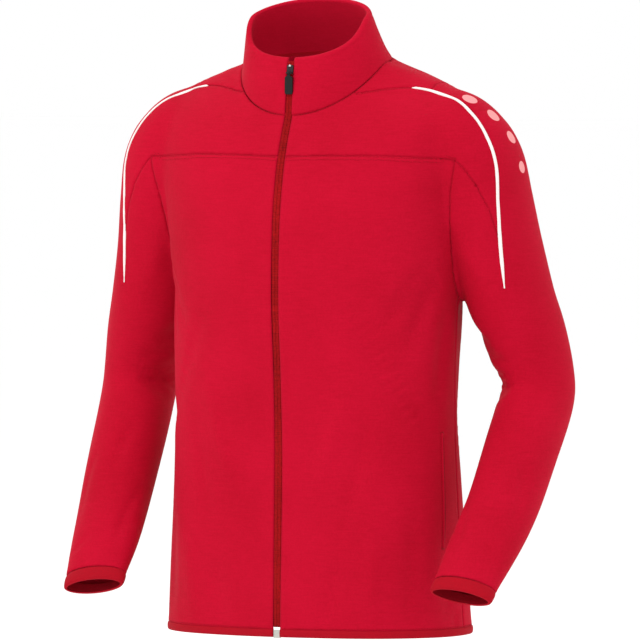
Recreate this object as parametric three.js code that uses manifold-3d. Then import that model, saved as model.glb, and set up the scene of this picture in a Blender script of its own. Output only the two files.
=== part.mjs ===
// A zip-front track jacket, worn and hollow, in millimetres. +Z is up, the front faces -Y and the
// wearer's left is +X. The origin is the middle of the neck, level with the shoulders' inner ends.
import * as THREE from 'three';
import { mergeVertices } from 'three/addons/utils/BufferGeometryUtils.js';
import Module from 'manifold-3d';

const wasm = await Module();
wasm.setup();

// Driving dimensions
const SEAM_GAP = 0.3;
const CLOTH_WALL = 2;
const COLLAR_WALL = 3.4;
const TORSO_SIDES = 36;
const SLEEVE_SIDES = 20;
const HEM_HEIGHT = -698;
const HEM_BINDING = 9;
const CUFF_BINDING = 16;
const CUFF_REACH = 56;
const SIDE_SEAM_Y = 8;
const ARMPIT_HEIGHT = -277;
const SHOULDER_SEAM_Y = -19.5;
const ZIP_SLOT_HALF = 4.6;
const ZIP_TOP = -9;
const SLIDER_MIDDLE = -10;
const PIPING_WIDTH = 4;
const PIPING_HEIGHT = 1.5;
const WELT_WIDTH = 4;
const WELT_TOP = -450;
const WELT_BOTTOM = -590;
const WELT_Y = -29;
const WELT_HEIGHT = 1.2;
const TAPE_BOTTOM = -689;
const COIL_WIDTH = 2.4;
const TAPE_WIDTH = 11;
const TAPE_THICKNESS = 1;
const TAPE_SLOPE = 1.3;
// Zip slider, pull and box, mm
const PLATE_HALF_WIDTH = 4;
const PLATE_HALF_LENGTH = 5.5;
const PLATE_CORNER = 1.5;
const PLATE_FRONT = 1.9;
const PLATE_THICKNESS = 1.2;
const PLATE_GAP = 3;
const LUG_INSIDE = 2.6;
const LUG_OUTSIDE = 3.5;
const LUG_MARGIN = 0.9;
const LUG_FOOT = 1.5;
const PIN_LENGTH = 6;
const BRIDGE_HALF_WIDTH = 1.2;
const BRIDGE_BOTTOM = 1.6;
const BRIDGE_TOP = 4.8;
const NECK_HALF_WIDTH = 1.9;
const NECK_LENGTH = 5;
const TAB_TOP = -4;
const TAB_CORNER = 2.6;
const EYE_RADIUS = 1.8;
const PIN_PLAY = 0.35;
const EYE_BORE_HALF = 4;
const BOX_HALF_WIDTH = 4.1;
const BOX_FRONT = 0.6;
const BOX_BACK = 3;
const PIN_RADIUS = 0.7;
const PIN_STANDOFF = 5;
const PIN_DROP = -4.4;
const PULL_WIDTH = 10;
const PULL_LENGTH = 26;
const PULL_THICKNESS = 1.4;

// Heights and places that tell the cut panels apart
const COLLAR_TELL = 30;
const CUFF_TELL = 200;
const YOKE_TELL = -300;
const SCRAP_VOLUME = 300;

const COLOURS = {
  cloth: 0xc8102e,
  binding: 0xac0a1e,
  zip: 0xa5141c,
  piping: 0xf3ece6,
  black: 0x191c1b,
  box: 0xb9b9ad,
};

// Body sections from the hem to the collar's top: half width and height at the side, and the front
// and back points' depth and height. power squares the section off, and wall is the cloth there.
const BODY_ROWS = [
  { sideX: 193, sideZ: -698, frontY: -119, frontZ: -698, backY: 132, backZ: -698, power: 2.3, wall: 2 },
  { sideX: 188, sideZ: -610, frontY: -118, frontZ: -610, backY: 122, backZ: -610, power: 2.3, wall: 2 },
  { sideX: 181, sideZ: -476, frontY: -115, frontZ: -476, backY: 108, backZ: -476, power: 2.3, wall: 2 },
  { sideX: 181, sideZ: -380, frontY: -118, frontZ: -380, backY: 114, backZ: -380, power: 2.3, wall: 2 },
  { sideX: 184, sideZ: -293, frontY: -124, frontZ: -293, backY: 123, backZ: -293, power: 2.3, wall: 2 },
  { sideX: 192, sideZ: -190, frontY: -122, frontZ: -196, backY: 128, backZ: -186, power: 2.25, wall: 2 },
  { sideX: 206, sideZ: -118, frontY: -112, frontZ: -136, backY: 126, backZ: -112, power: 2.15, wall: 2 },
  { sideX: 199, sideZ: -51, frontY: -102, frontZ: -104, backY: 116, backZ: -56, power: 2.1, wall: 2 },
  { sideX: 160, sideZ: -26, frontY: -94, frontZ: -84, backY: 103, backZ: -21, power: 2.05, wall: 2 },
  { sideX: 120, sideZ: -10, frontY: -89, frontZ: -73, backY: 92, backZ: -3, power: 2, wall: 2 },
  { sideX: 94, sideZ: 0, frontY: -86, frontZ: -65, backY: 80, backZ: 11, power: 2, wall: 2.4 },
  { sideX: 89, sideZ: 12, frontY: -84, frontZ: -50, backY: 64, backZ: 28, power: 2, wall: 3.4 },
  { sideX: 84, sideZ: 34, frontY: -80, frontZ: -20, backY: 42, backZ: 54, power: 2, wall: 3.4 },
  { sideX: 80, sideZ: 54, frontY: -78, frontZ: 2, backY: 25, backZ: 76, power: 2.1, wall: 3.4 },
];
const NECK_ROW = 10;
const SIDE_ROUNDING = 0.15;
const COLLAR_SWEEP = 0.6;

// The wearer's left sleeve, from inside the shoulder to the cuff: the middle of each section, its
// half width across the arm and its half depth from front to back.
const SLEEVE_ROWS = [
  { x: 126, y: 8, z: -86, across: 38, deep: 36 },
  { x: 152, y: 10, z: -84, across: 51, deep: 52 },
  { x: 178, y: 12, z: -95, across: 61, deep: 61 },
  { x: 200, y: 15, z: -126, across: 64, deep: 63 },
  { x: 213, y: 22, z: -172, across: 60, deep: 62 },
  { x: 226, y: 32, z: -232, across: 56, deep: 59 },
  { x: 240, y: 40, z: -290, across: 53, deep: 56 },
  { x: 255, y: 50, z: -335, across: 50, deep: 52 },
  { x: 266, y: 57, z: -380, across: 47, deep: 48 },
  { x: 269, y: 52, z: -412, across: 46, deep: 46 },
  { x: 265, y: 15, z: -470, across: 46, deep: 43 },
  { x: 261, y: -26, z: -532, across: 45.5, deep: 39 },
  { x: 253, y: -75, z: -590, across: 44, deep: 30 },
  { x: 246, y: -122, z: -642, across: 40, deep: 15 },
];

// Seams seen from the front, as x and z, on the wearer's left half
const YOKE_SEAM = [[0, -114.5], [60, -113], [120, -113], [170, -116], [209, -119]];
const FRONT_ARMHOLE = [[207, -114], [203, -130], [196, -160], [191, -195], [188, -231], [186.5, -262],
  [185.8, -280], [185.8, -302]];
const WEDGE_SEAM = [[204, -113], [216, -128], [230, -148], [243, -178], [251, -210], [257, -246],
  [260, -262]];
const BACK_ARMHOLE = [[157, -8], [160, -40], [176, -72], [192, -112], [193, -160], [189, -220],
  [186.5, -262], [185.8, -280], [185.8, -302]];

// The shoulder seam and the piping are one line, from the neck over the shoulder and down the arm
const SHOULDER_LINE = [
  [66, -50, -38], [76, -55, -39], [95, -45, -36], [116, -34, -33.5], [137, -24, -32], [160, -17, -36.5],
  [187, -17, -46], [217, -22, -68], [237, -24, -95], [249, -25, -125], [252, -25, -168], [253, -21, -220],
  [256, -15, -274],
];
const PIPING_START = 4;
const SPINE_START = [60, -10, -110];

function catmull(before, from, to, after, share) {
  const squared = share * share;
  const cubed = squared * share;
  return 0.5 * (2 * from + (to - before) * share + (2 * before - 5 * from + 4 * to - after) * squared
    + (3 * from - before - 3 * to + after) * cubed);
}

// Fills each gap between two rows of a table with evenly spaced rows on a smooth curve
function fillRows(rows, steps) {
  const filled = [];
  for (let index = 0; index < rows.length - 1; index += 1) {
    const before = rows[Math.max(index - 1, 0)];
    const after = rows[Math.min(index + 2, rows.length - 1)];
    for (let step = 0; step < steps; step += 1) {
      const row = {};
      for (const key of Object.keys(rows[index])) {
        row[key] = catmull(before[key], rows[index][key], rows[index + 1][key], after[key], step / steps);
      }
      filled.push(row);
    }
  }
  filled.push(rows[rows.length - 1]);
  return filled;
}

function roundedPower(value, power) {
  return Math.sign(value) * Math.abs(value) ** (2 / power);
}

// How far a ring has gone from its side's height to its front's or back's, from 0 to 1
function ringFall(forward) {
  const atRim = Math.hypot(1, SIDE_ROUNDING) - SIDE_ROUNDING;
  return (Math.hypot(forward, SIDE_ROUNDING) - SIDE_ROUNDING) / atRim;
}

// The collar's edge stays low across the front and climbs steeply at its sides:
// 1 at the neck seam, less above it
function frontSweep(row) {
  const neck = BODY_ROWS[NECK_ROW].backZ;
  const rise = (row.backZ - neck) / (BODY_ROWS[BODY_ROWS.length - 1].backZ - neck);
  return 1 - (1 - COLLAR_SWEEP) * Math.min(Math.max(rise, 0), 1);
}

function bodyRing(row) {
  const middleY = (row.frontY + row.backY) / 2;
  const halfDepth = (row.backY - row.frontY) / 2;
  const ring = [];
  for (let index = 0; index < TORSO_SIDES; index += 1) {
    const angle = (2 * Math.PI * (index + 0.5)) / TORSO_SIDES;
    const forward = Math.sin(angle);
    const farZ = forward < 0 ? row.frontZ : row.backZ;
    const sweep = forward < 0 ? frontSweep(row) : 1;
    ring.push(new THREE.Vector3(
      row.sideX * roundedPower(Math.cos(angle), row.power),
      middleY + halfDepth * roundedPower(forward, row.power),
      row.sideZ + (farZ - row.sideZ) * ringFall(forward) ** sweep,
    ));
  }
  return ring;
}

function alongSpine(rows, index) {
  const before = rows[Math.max(index - 1, 0)];
  const after = rows[Math.min(index + 1, rows.length - 1)];
  return new THREE.Vector3(after.x - before.x, after.y - before.y, after.z - before.z).normalize();
}

function sleeveRing(rows, index) {
  const row = rows[index];
  const along = alongSpine(rows, index);
  const forward = new THREE.Vector3(0, -1, 0);
  forward.addScaledVector(along, -forward.dot(along)).normalize();
  const outward = new THREE.Vector3().crossVectors(forward, along);
  const ring = [];
  for (let side = 0; side < SLEEVE_SIDES; side += 1) {
    const angle = (2 * Math.PI * side) / SLEEVE_SIDES;
    ring.push(new THREE.Vector3(row.x, row.y, row.z)
      .addScaledVector(outward, row.across * Math.cos(angle))
      .addScaledVector(forward, row.deep * Math.sin(angle)));
  }
  return ring;
}

// Moves each point of a grid of rings out along the surface by amounts given ring by ring
function offsetRings(rings, amounts) {
  return rings.map((ring, index) => ring.map((point, side) => {
    const below = rings[Math.max(index - 1, 0)][side];
    const above = rings[Math.min(index + 1, rings.length - 1)][side];
    const last = ring[(side + ring.length - 1) % ring.length];
    const next = ring[(side + 1) % ring.length];
    const around = new THREE.Vector3().subVectors(next, last);
    const up = new THREE.Vector3().subVectors(above, below);
    return new THREE.Vector3().crossVectors(around, up).normalize().multiplyScalar(amounts[index]).add(point);
  }));
}

function shiftedRing(ring, shift) {
  return ring.map((point) => point.clone().add(shift));
}

function mirroredRings(rings) {
  return rings.map((ring) => ring.map((point) => new THREE.Vector3(-point.x, point.y, point.z)).reverse());
}

function signedVolume(points, faces) {
  let volume = 0;
  for (const [a, b, c] of faces) {
    volume += points[a].dot(new THREE.Vector3().crossVectors(points[b], points[c]));
  }
  return volume;
}

function solidOfFaces(points, faces) {
  const outward = signedVolume(points, faces) > 0;
  const triVerts = new Uint32Array(faces.flatMap(([a, b, c]) => (outward ? [a, b, c] : [a, c, b])));
  const vertProperties = new Float32Array(points.flatMap((point) => [point.x, point.y, point.z]));
  return new wasm.Manifold(new wasm.Mesh({ numProp: 3, vertProperties, triVerts }));
}

function ringSides(ringCount, sides, closed) {
  const faces = [];
  const lastRing = closed ? ringCount : ringCount - 1;
  for (let ring = 0; ring < lastRing; ring += 1) {
    const nextRing = (ring + 1) % ringCount;
    for (let side = 0; side < sides; side += 1) {
      const next = (side + 1) % sides;
      const a = ring * sides + side;
      const b = ring * sides + next;
      const c = nextRing * sides + next;
      const d = nextRing * sides + side;
      // A thin slab's two broad faces are split along the same diagonal, so that they never cross
      if (sides === 4 && side > 1) {
        faces.push([a, b, d], [b, c, d]);
      } else {
        faces.push([a, b, c], [a, c, d]);
      }
    }
  }
  return faces;
}

// A closed solid through rings, with a fan of faces over each end
function loft(rings) {
  const sides = rings[0].length;
  const points = rings.flat();
  const faces = ringSides(rings.length, sides, false);
  const ends = [rings[0], rings[rings.length - 1]];
  const firsts = [0, (rings.length - 1) * sides];
  ends.forEach((ring, end) => {
    const middle = new THREE.Vector3();
    ring.forEach((point) => middle.add(point));
    points.push(middle.divideScalar(sides));
    for (let side = 0; side < sides; side += 1) {
      const a = firsts[end] + side;
      const b = firsts[end] + ((side + 1) % sides);
      faces.push(end === 0 ? [points.length - 1, b, a] : [points.length - 1, a, b]);
    }
  });
  return solidOfFaces(points, faces);
}

// A solid through rings that meets its own start
function loopLoft(rings) {
  return solidOfFaces(rings.flat(), ringSides(rings.length, rings[0].length, true));
}

function solidOfGeometry(geometry, matrix) {
  const bare = geometry.index ? geometry.toNonIndexed() : geometry.clone();
  bare.deleteAttribute('normal');
  bare.deleteAttribute('uv');
  if (matrix) {
    bare.applyMatrix4(matrix);
  }
  const merged = mergeVertices(bare, 1e-4);
  return new wasm.Manifold(new wasm.Mesh({
    numProp: 3,
    vertProperties: new Float32Array(merged.attributes.position.array),
    triVerts: new Uint32Array(merged.index.array),
  }));
}

function box(low, high) {
  const size = high.map((value, axis) => value - low[axis]);
  const middle = high.map((value, axis) => (value + low[axis]) / 2);
  return solidOfGeometry(new THREE.BoxGeometry(...size), new THREE.Matrix4().makeTranslation(...middle));
}

function join(solids) {
  return solids.reduce((whole, solid) => whole.add(solid));
}

// A band of a given width along a line, standing on its normals from inside to outside it
function ribbon(points, normals, inside, outside, width) {
  const rings = points.map((point, index) => {
    const before = points[Math.max(index - 1, 0)];
    const after = points[Math.min(index + 1, points.length - 1)];
    const normal = normals[index];
    const side = new THREE.Vector3().subVectors(after, before).cross(normal).setLength(width / 2);
    return [[-inside, -1], [-inside, 1], [outside, 1], [outside, -1]].map(([rise, turn]) => (
      point.clone().addScaledVector(normal, rise).addScaledVector(side, turn)
    ));
  });
  return loft(rings);
}

function smoothLine(points, count) {
  return new THREE.CatmullRomCurve3(points).getPoints(count);
}

// A slab along a seam drawn in the front view, reaching from one depth to another
function curtain(seam, nearY, farY, mirror) {
  const line = smoothLine(seam.map(([x, z]) => new THREE.Vector3(x * mirror, 0, z)), seam.length - 1);
  const normals = line.map(() => new THREE.Vector3(0, -1, 0));
  return ribbon(line, normals, farY, -nearY, SEAM_GAP);
}

const bodyRows = fillRows(BODY_ROWS, 2);
const sleeveRows = fillRows(SLEEVE_ROWS, 2);
const bodyRings = bodyRows.map(bodyRing);
const sleeveRings = sleeveRows.map((row, index) => sleeveRing(sleeveRows, index));
const cuffAlong = alongSpine(sleeveRows, sleeveRows.length - 1);

// The outside of the whole jacket, moved out by a given amount
function outerForm(rise) {
  const body = loft(offsetRings(bodyRings, bodyRings.map(() => rise)));
  const sleeve = offsetRings(sleeveRings, sleeveRings.map(() => rise));
  return join([body, loft(sleeve), loft(mirroredRings(sleeve))]);
}

// The hollow inside the jacket, which runs out through the hem, the neck and the cuffs
function innerForm() {
  const body = offsetRings(bodyRings, bodyRows.map((row) => -row.wall));
  body.unshift(shiftedRing(body[0], new THREE.Vector3(0, 0, -15)));
  body.push(shiftedRing(body[body.length - 1], new THREE.Vector3(0, 0, 15)));
  const sleeve = offsetRings(sleeveRings, sleeveRings.map(() => -CLOTH_WALL));
  sleeve.push(shiftedRing(sleeve[sleeve.length - 1], cuffAlong.clone().multiplyScalar(15)));
  return join([loft(body), loft(sleeve), loft(mirroredRings(sleeve))]);
}

// A flat ring of the seam gap's thickness through the neck seam
function neckSlab() {
  const seam = bodyRings[NECK_ROW * 2];
  const middle = new THREE.Vector3(0, (BODY_ROWS[NECK_ROW].frontY + BODY_ROWS[NECK_ROW].backY) / 2, 0);
  const half = SEAM_GAP / 2;
  return loopLoft(seam.map((point) => [[0.9, -half], [1.1, -half], [1.1, half], [0.9, half]].map(
    ([scale, rise]) => new THREE.Vector3(
      middle.x + (point.x - middle.x) * scale,
      middle.y + (point.y - middle.y) * scale,
      point.z + rise,
    ),
  )));
}

function sideSeam(mirror) {
  const rows = bodyRows.filter((row) => row.sideZ < ARMPIT_HEIGHT + 50);
  const rings = rows.map((row) => [
    new THREE.Vector3(mirror * (row.sideX - 20), SIDE_SEAM_Y - SEAM_GAP / 2, row.sideZ),
    new THREE.Vector3(mirror * (row.sideX + 1.5), SIDE_SEAM_Y - SEAM_GAP / 2, row.sideZ),
    new THREE.Vector3(mirror * (row.sideX + 1.5), SIDE_SEAM_Y + SEAM_GAP / 2, row.sideZ),
    new THREE.Vector3(mirror * (row.sideX - 20), SIDE_SEAM_Y + SEAM_GAP / 2, row.sideZ),
  ]);
  rings[0] = shiftedRing(rings[0], new THREE.Vector3(0, 0, HEM_BINDING + SEAM_GAP / 2));
  return loft(rings);
}

function cuffSlab(mirror) {
  const last = sleeveRows[sleeveRows.length - 1];
  const middle = new THREE.Vector3(last.x, last.y, last.z).addScaledVector(cuffAlong, -CUFF_BINDING);
  const flip = new THREE.Vector3(mirror, 1, 1);
  const sleeveEnd = cuffAlong.clone().multiply(flip);
  const turn = new THREE.Quaternion().setFromUnitVectors(new THREE.Vector3(0, 1, 0), sleeveEnd);
  const matrix = new THREE.Matrix4().compose(middle.multiply(flip), turn, new THREE.Vector3(1, 1, 1));
  return solidOfGeometry(new THREE.CylinderGeometry(CUFF_REACH, CUFF_REACH, SEAM_GAP, 16), matrix);
}

// The nearest point on the line through the sleeve's middle, which starts inside the shoulder
function nearestSpinePoint(point) {
  const spine = [new THREE.Vector3(...SPINE_START)];
  sleeveRows.forEach((row) => spine.push(new THREE.Vector3(row.x, row.y, row.z)));
  let nearest = spine[0];
  for (let index = 1; index < spine.length; index += 1) {
    const candidate = new THREE.Vector3();
    new THREE.Line3(spine[index - 1], spine[index]).closestPointToPoint(point, true, candidate);
    if (candidate.distanceTo(point) < nearest.distanceTo(point)) {
      nearest = candidate;
    }
  }
  return nearest;
}

function shoulderBand(first, width, inside, outside, mirror) {
  const line = smoothLine(SHOULDER_LINE.slice(first).map((place) => new THREE.Vector3(...place)), 24);
  const normals = line.map((point) => point.clone().sub(nearestSpinePoint(point)).normalize());
  const flip = new THREE.Vector3(mirror, 1, 1);
  return ribbon(line.map((point) => point.multiply(flip)), normals.map((normal) => normal.multiply(flip)),
    inside, outside, width);
}

function seamCutters() {
  const cutters = [
    neckSlab(),
    box([-240, -200, HEM_HEIGHT + HEM_BINDING], [240, 200, HEM_HEIGHT + HEM_BINDING + SEAM_GAP]),
    box([-ZIP_SLOT_HALF, -200, HEM_HEIGHT - 5], [ZIP_SLOT_HALF, -30, 60]),
  ];
  for (const mirror of [-1, 1]) {
    cutters.push(
      curtain(YOKE_SEAM, -200, 0, mirror),
      curtain(FRONT_ARMHOLE, -200, SIDE_SEAM_Y, mirror),
      curtain(WEDGE_SEAM, -200, 0, mirror),
      curtain(BACK_ARMHOLE, SHOULDER_SEAM_Y, 200, mirror),
      sideSeam(mirror),
      cuffSlab(mirror),
      shoulderBand(0, SEAM_GAP, 8, 8, mirror),
    );
  }
  return join(cutters);
}

const jacketShell = outerForm(0).subtract(innerForm());

function sideName(bounds) {
  return bounds.min[0] + bounds.max[0] > 0 ? 'left' : 'right';
}

// Tells a cut panel by where its box lies on the jacket
function panelName(bounds) {
  if (bounds.max[2] > COLLAR_TELL) {
    return 'collar';
  }
  if (bounds.max[2] < HEM_HEIGHT + HEM_BINDING + 1) {
    return 'hem_binding';
  }
  if (bounds.min[0] < 0 && bounds.max[0] > 0) {
    return 'back';
  }
  if (bounds.min[0] > CUFF_TELL || bounds.max[0] < -CUFF_TELL) {
    return `cuff_binding_${sideName(bounds)}`;
  }
  if (bounds.min[2] > YOKE_TELL) {
    return `yoke_${sideName(bounds)}`;
  }
  return bounds.min[2] < HEM_HEIGHT + 20 ? `front_${sideName(bounds)}` : `sleeve_${sideName(bounds)}`;
}

function cutPanels() {
  const panels = {};
  for (const piece of jacketShell.subtract(seamCutters()).decompose()) {
    if (piece.volume() < SCRAP_VOLUME) {
      continue;
    }
    const name = panelName(piece.boundingBox());
    panels[name] = panels[name] ? panels[name].add(piece) : piece;
  }
  return panels;
}

// The jacket's front edge beside the zip: its points from the hem up, with the slope and the wall
function frontEdge() {
  const left = (TORSO_SIDES * 3) / 4;
  const points = bodyRings.map((ring) => ring[left - 1].clone().add(ring[left]).multiplyScalar(0.5));
  return points.map((point, index) => {
    const before = points[Math.max(index - 1, 0)];
    const after = points[Math.min(index + 1, points.length - 1)];
    const up = new THREE.Vector3(0, after.y - before.y, after.z - before.z).normalize();
    const out = new THREE.Vector3(0, -up.z, up.y);
    return { point, up, out, wall: bodyRows[index].wall };
  });
}

function edgeAt(height) {
  const edge = frontEdge();
  const next = edge.findIndex((place) => place.point.z > height);
  const share = (height - edge[next - 1].point.z) / (edge[next].point.z - edge[next - 1].point.z);
  return {
    point: edge[next - 1].point.clone().lerp(edge[next].point, share),
    up: edge[next - 1].up.clone().lerp(edge[next].up, share).normalize(),
    out: edge[next - 1].out.clone().lerp(edge[next].out, share).normalize(),
    wall: edge[next - 1].wall + (edge[next].wall - edge[next - 1].wall) * share,
  };
}

// One side of the zip: the coil stands in the slot, and its tape runs behind the panel's edge
function zipTape(mirror) {
  const inner = frontEdge().filter(({ point }) => point.z > TAPE_BOTTOM + 4 && point.z < ZIP_TOP - 4);
  const places = [edgeAt(TAPE_BOTTOM), ...inner, edgeAt(ZIP_TOP)];
  return loft(places.map(({ point, out, wall }) => [
    [SEAM_GAP / 2, 0.1],
    [COIL_WIDTH, 0.1],
    [COIL_WIDTH, wall + 0.6],
    [TAPE_WIDTH, wall + TAPE_SLOPE],
    [TAPE_WIDTH, wall + TAPE_SLOPE + TAPE_THICKNESS],
    [SEAM_GAP / 2, wall + TAPE_SLOPE + TAPE_THICKNESS],
  ].map(([x, depth]) => point.clone().addScaledVector(out, -depth).setX(x * mirror))));
}

function sliderMatrix() {
  const place = edgeAt(SLIDER_MIDDLE);
  const inward = place.out.clone().negate();
  const basis = new THREE.Matrix4().makeBasis(new THREE.Vector3(1, 0, 0), inward, place.up);
  return basis.setPosition(place.point);
}

// A flat plate with rounded corners that stands in the XZ plane, from one depth to another
function roundedPlate(halfWidth, bottom, top, radius, nearY, farY, matrix) {
  const shape = new THREE.Shape();
  shape.moveTo(-halfWidth + radius, bottom);
  shape.lineTo(halfWidth - radius, bottom);
  shape.absarc(halfWidth - radius, bottom + radius, radius, -Math.PI / 2, 0);
  shape.absarc(halfWidth - radius, top - radius, radius, 0, Math.PI / 2);
  shape.absarc(-halfWidth + radius, top - radius, radius, Math.PI / 2, Math.PI);
  shape.absarc(-halfWidth + radius, bottom + radius, radius, Math.PI, Math.PI * 1.5);
  const depth = farY - nearY;
  const plate = new THREE.ExtrudeGeometry(shape, { depth, bevelEnabled: false, curveSegments: 4 });
  plate.rotateX(Math.PI / 2).translate(0, farY, 0);
  return solidOfGeometry(plate, matrix);
}

function crossPin(radius, halfLength, place) {
  const pin = new THREE.CylinderGeometry(radius, radius, halfLength * 2, 16).rotateZ(Math.PI / 2);
  return solidOfGeometry(pin.translate(...place));
}

function pinPlace() {
  return new THREE.Vector3(0, -PIN_STANDOFF, PIN_DROP).applyMatrix4(sliderMatrix());
}

function zipSlider() {
  const matrix = sliderMatrix();
  const back = COLLAR_WALL + PLATE_GAP;
  const [wide, long] = [PLATE_HALF_WIDTH, PLATE_HALF_LENGTH];
  const block = (low, high) => {
    const size = high.map((value, axis) => value - low[axis]);
    const middle = high.map((value, axis) => (value + low[axis]) / 2);
    return solidOfGeometry(new THREE.BoxGeometry(...size).translate(...middle), matrix);
  };
  const lug = (from, to) => block(
    [from, -PIN_STANDOFF - LUG_MARGIN, PIN_DROP - LUG_MARGIN],
    [to, -LUG_FOOT, PIN_DROP + LUG_MARGIN],
  );
  const bridgeBack = back + PLATE_THICKNESS / 2;
  const pin = new THREE.CylinderGeometry(PIN_RADIUS, PIN_RADIUS, PIN_LENGTH, 16).rotateZ(Math.PI / 2);
  return join([
    roundedPlate(wide, -long, long, PLATE_CORNER, -PLATE_FRONT, -SEAM_GAP, matrix),
    roundedPlate(wide, -long, long, PLATE_CORNER, back, back + PLATE_THICKNESS, matrix),
    block([-BRIDGE_HALF_WIDTH, -1, BRIDGE_BOTTOM], [BRIDGE_HALF_WIDTH, bridgeBack, BRIDGE_TOP]),
    lug(-LUG_OUTSIDE, -LUG_INSIDE),
    lug(LUG_INSIDE, LUG_OUTSIDE),
    solidOfGeometry(pin.translate(0, -PIN_STANDOFF, PIN_DROP), matrix),
  ]);
}

// The pull tab hangs straight down from the slider's pin, which runs through its eye
function zipPull() {
  const pin = pinPlace();
  const place = new THREE.Matrix4().makeTranslation(pin.x, pin.y, pin.z);
  const half = PULL_THICKNESS / 2;
  const tab = roundedPlate(PULL_WIDTH / 2, -PULL_LENGTH, TAB_TOP, TAB_CORNER, -half, half, place);
  const neck = box(
    [-NECK_HALF_WIDTH, pin.y - half, pin.z - NECK_LENGTH],
    [NECK_HALF_WIDTH, pin.y + half, pin.z],
  );
  const eye = crossPin(EYE_RADIUS, NECK_HALF_WIDTH, pin.toArray());
  const bore = crossPin(PIN_RADIUS + PIN_PLAY, EYE_BORE_HALF, pin.toArray());
  return join([tab, neck, eye]).subtract(bore);
}

function zipBox() {
  const { point } = edgeAt(TAPE_BOTTOM);
  return box(
    [-BOX_HALF_WIDTH, point.y - BOX_FRONT, HEM_HEIGHT - 1],
    [BOX_HALF_WIDTH, point.y + BOX_BACK, TAPE_BOTTOM - SEAM_GAP],
  );
}

// A layer that lies on the jacket, from the seam gap above it to a given height
function surfaceLayer(height) {
  return outerForm(height).subtract(outerForm(SEAM_GAP));
}

function piping(mirror) {
  return surfaceLayer(PIPING_HEIGHT).intersect(shoulderBand(PIPING_START, PIPING_WIDTH, 9, 9, mirror));
}

function pocketWelt(mirror) {
  const nearX = mirror > 0 ? 100 : -205;
  const place = box([nearX, WELT_Y, WELT_BOTTOM], [nearX + 105, WELT_Y + WELT_WIDTH, WELT_TOP]);
  return surfaceLayer(WELT_HEIGHT).intersect(place);
}

function meshOf(name, solid, colour, roughness, metalness) {
  const { vertProperties, triVerts, numProp } = solid.getMesh();
  const geometry = new THREE.BufferGeometry();
  const positions = [];
  for (let index = 0; index < vertProperties.length; index += numProp) {
    positions.push(vertProperties[index], vertProperties[index + 1], vertProperties[index + 2]);
  }
  geometry.setAttribute('position', new THREE.Float32BufferAttribute(positions, 3));
  geometry.setIndex(Array.from(triVerts));
  geometry.computeVertexNormals();
  const finish = new THREE.MeshStandardMaterial({ color: colour, roughness, metalness });
  const mesh = new THREE.Mesh(geometry, finish);
  mesh.name = name;
  return mesh;
}

const jacket = new THREE.Group();
for (const [name, solid] of Object.entries(cutPanels())) {
  jacket.add(meshOf(name, solid, name.includes('binding') ? COLOURS.binding : COLOURS.cloth, 0.8, 0));
}
for (const [side, mirror] of [['left', 1], ['right', -1]]) {
  jacket.add(meshOf(`zip_tape_${side}`, zipTape(mirror), COLOURS.zip, 0.7, 0));
  jacket.add(meshOf(`piping_${side}`, piping(mirror), COLOURS.piping, 0.6, 0));
  jacket.add(meshOf(`pocket_welt_${side}`, pocketWelt(mirror), COLOURS.cloth, 0.8, 0));
}
jacket.add(meshOf('zip_slider', zipSlider(), COLOURS.black, 0.35, 0.6));
jacket.add(meshOf('zip_pull', zipPull(), COLOURS.black, 0.5, 0));
jacket.add(meshOf('zip_box', zipBox(), COLOURS.box, 0.4, 0.6));

export default jacket;
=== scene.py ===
import math

import bmesh
import bpy
import numpy as np
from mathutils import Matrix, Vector
from mathutils.bvhtree import BVHTree
from mathutils.kdtree import KDTree


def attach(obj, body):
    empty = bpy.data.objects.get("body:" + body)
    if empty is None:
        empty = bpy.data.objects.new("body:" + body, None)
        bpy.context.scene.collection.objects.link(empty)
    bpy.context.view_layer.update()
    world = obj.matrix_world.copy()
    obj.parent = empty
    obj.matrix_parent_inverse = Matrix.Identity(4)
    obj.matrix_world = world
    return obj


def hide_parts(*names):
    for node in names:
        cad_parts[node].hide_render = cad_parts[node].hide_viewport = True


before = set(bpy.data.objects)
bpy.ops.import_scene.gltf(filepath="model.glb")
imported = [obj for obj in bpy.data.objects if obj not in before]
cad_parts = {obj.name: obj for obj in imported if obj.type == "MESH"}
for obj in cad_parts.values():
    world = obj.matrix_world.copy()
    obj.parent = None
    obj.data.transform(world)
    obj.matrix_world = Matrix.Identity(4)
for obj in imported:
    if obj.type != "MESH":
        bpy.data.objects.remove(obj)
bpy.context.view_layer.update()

# The jacket is worked out in millimetres, as its solids are, and turned into metres at the end
MM = 0.001
VOXEL = 0.003
CLOTH = 1.3
COLLAR_WALL = 3.6
ZIP_SLOT_HALF = 4.6
HEM_HEIGHT = -698.0
HEM_BINDING = 9.0
CUFF_BINDING = 16.0
SIDE_SEAM_Y = 8.0
SIDE_ROUNDING = 0.15
COLLAR_SWEEP = 0.6
NECK_ROW = 10
THREAD_RINGS = 5
THREAD_SIDES = 6
COIL_PITCH = 1.7
BODY = "jacket"

# The photograph's camera: its turn, tilt, distance and lens, and the point in the picture's middle
CAMERA_TURN = math.radians(25)
CAMERA_TILT = math.radians(2.2)
CAMERA_DISTANCE = 12.0
CAMERA_LENS = 552.0
CAMERA_SENSOR = 36.0
CAMERA_TARGET = Vector((0.0022, 0.001, -0.317))

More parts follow.
